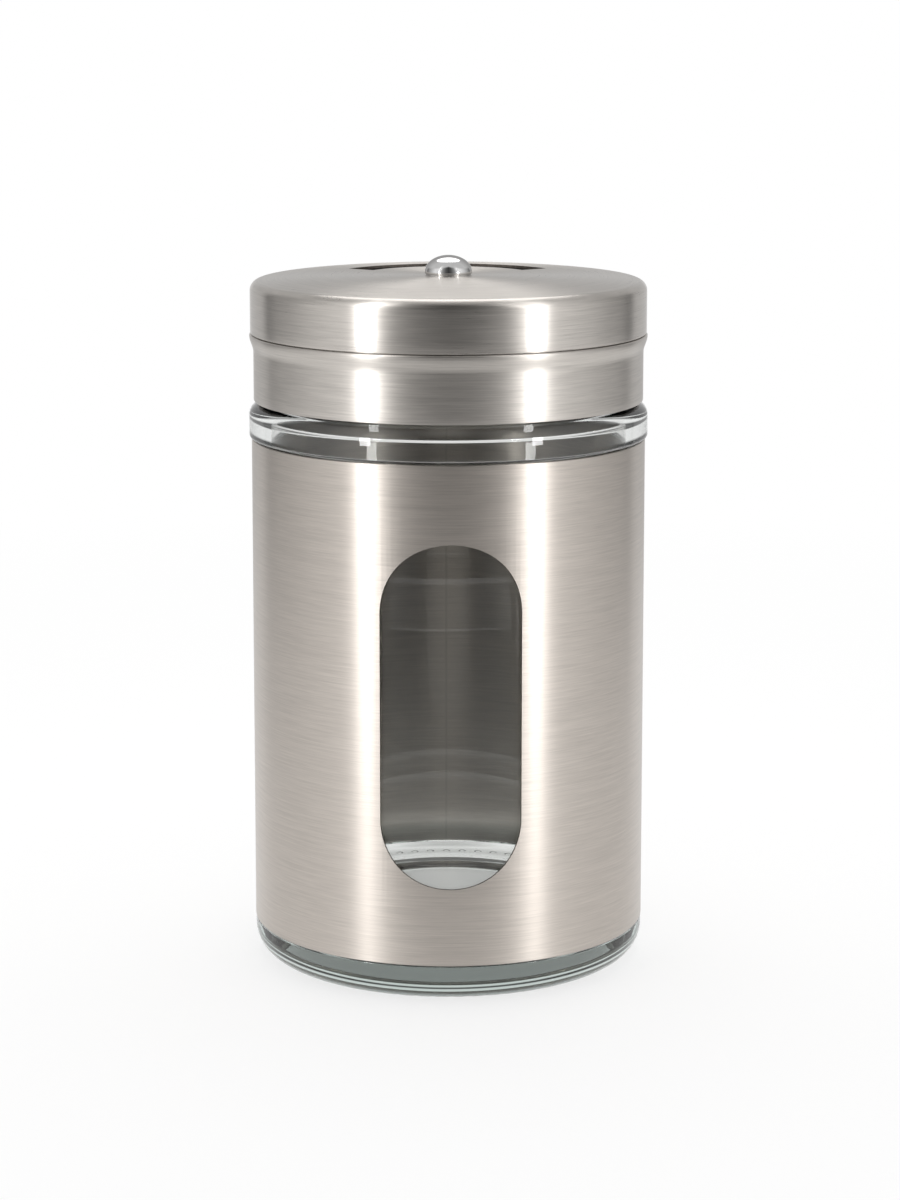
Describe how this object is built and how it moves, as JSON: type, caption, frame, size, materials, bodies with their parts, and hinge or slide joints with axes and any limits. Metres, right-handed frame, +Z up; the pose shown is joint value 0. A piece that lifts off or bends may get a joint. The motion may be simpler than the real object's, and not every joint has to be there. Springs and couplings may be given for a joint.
{
  "type": "spice shaker",
  "caption": "Round glass spice shaker in a windowed brushed-steel sleeve, with a screw lid and a rotating dial that opens a pour port or sprinkle holes.",
  "frame": {"origin": "centre of the ring that the jar stands on, on the supporting surface", "axes": "+Z up along the jar's axis, -Y towards the window (front), +X to the right of the front"},
  "size_m": [0.0618, 0.0618, 0.1099],
  "materials": {
    "clear_glass": "clear soda-lime glass, slightly green in its thickness",
    "brushed_sleeve": "satin, brushed round the body",
    "brushed_lid": "satin, brushed round the bands and in circles on the top",
    "polished_steel": "mirror polished",
    "moulded_plastic": "black moulded, fine matte",
    "liner_plastic": "black moulded, smooth",
    "seal_foam": "white foamed plastic",
    "plated_steel": "plated, semi-bright"
  },
  "bodies": {
    "jar": {"glass_jar": "clear_glass", "body_sleeve": "brushed_sleeve"},
    "seal": {"mouth_seal": "seal_foam"},
    "lid": {"lid_skirt": "brushed_lid", "lid_insert": "moulded_plastic", "sifter_disc": "moulded_plastic"},
    "dial": {"dial_cover": "brushed_lid", "dial_liner": "liner_plastic", "center_knob": "polished_steel", "plain_washer": "plated_steel", "spring_washer": "plated_steel", "lock_nut": "plated_steel"}
  },
  "joints": [
    {"name": "lid_rise", "type": "slide", "parent": "jar", "child": "seal", "axis": [0, 0, 1], "range_m": [0, 0.0138]},
    {"name": "lid_turn", "type": "hinge", "parent": "seal", "child": "lid", "pos_m": [0, 0, 0.1], "axis": [0, 0, 1], "range_deg": [0, 1170]},
    {"name": "dial_turn", "type": "hinge", "parent": "lid", "child": "dial", "pos_m": [0, 0, 0.103], "axis": [0, 0, 1], "continuous": true}
  ],
  "couplings": [
    {"joint": "lid_rise", "follows": "lid_turn", "m_per_rad": 0.00066845}
  ]
}
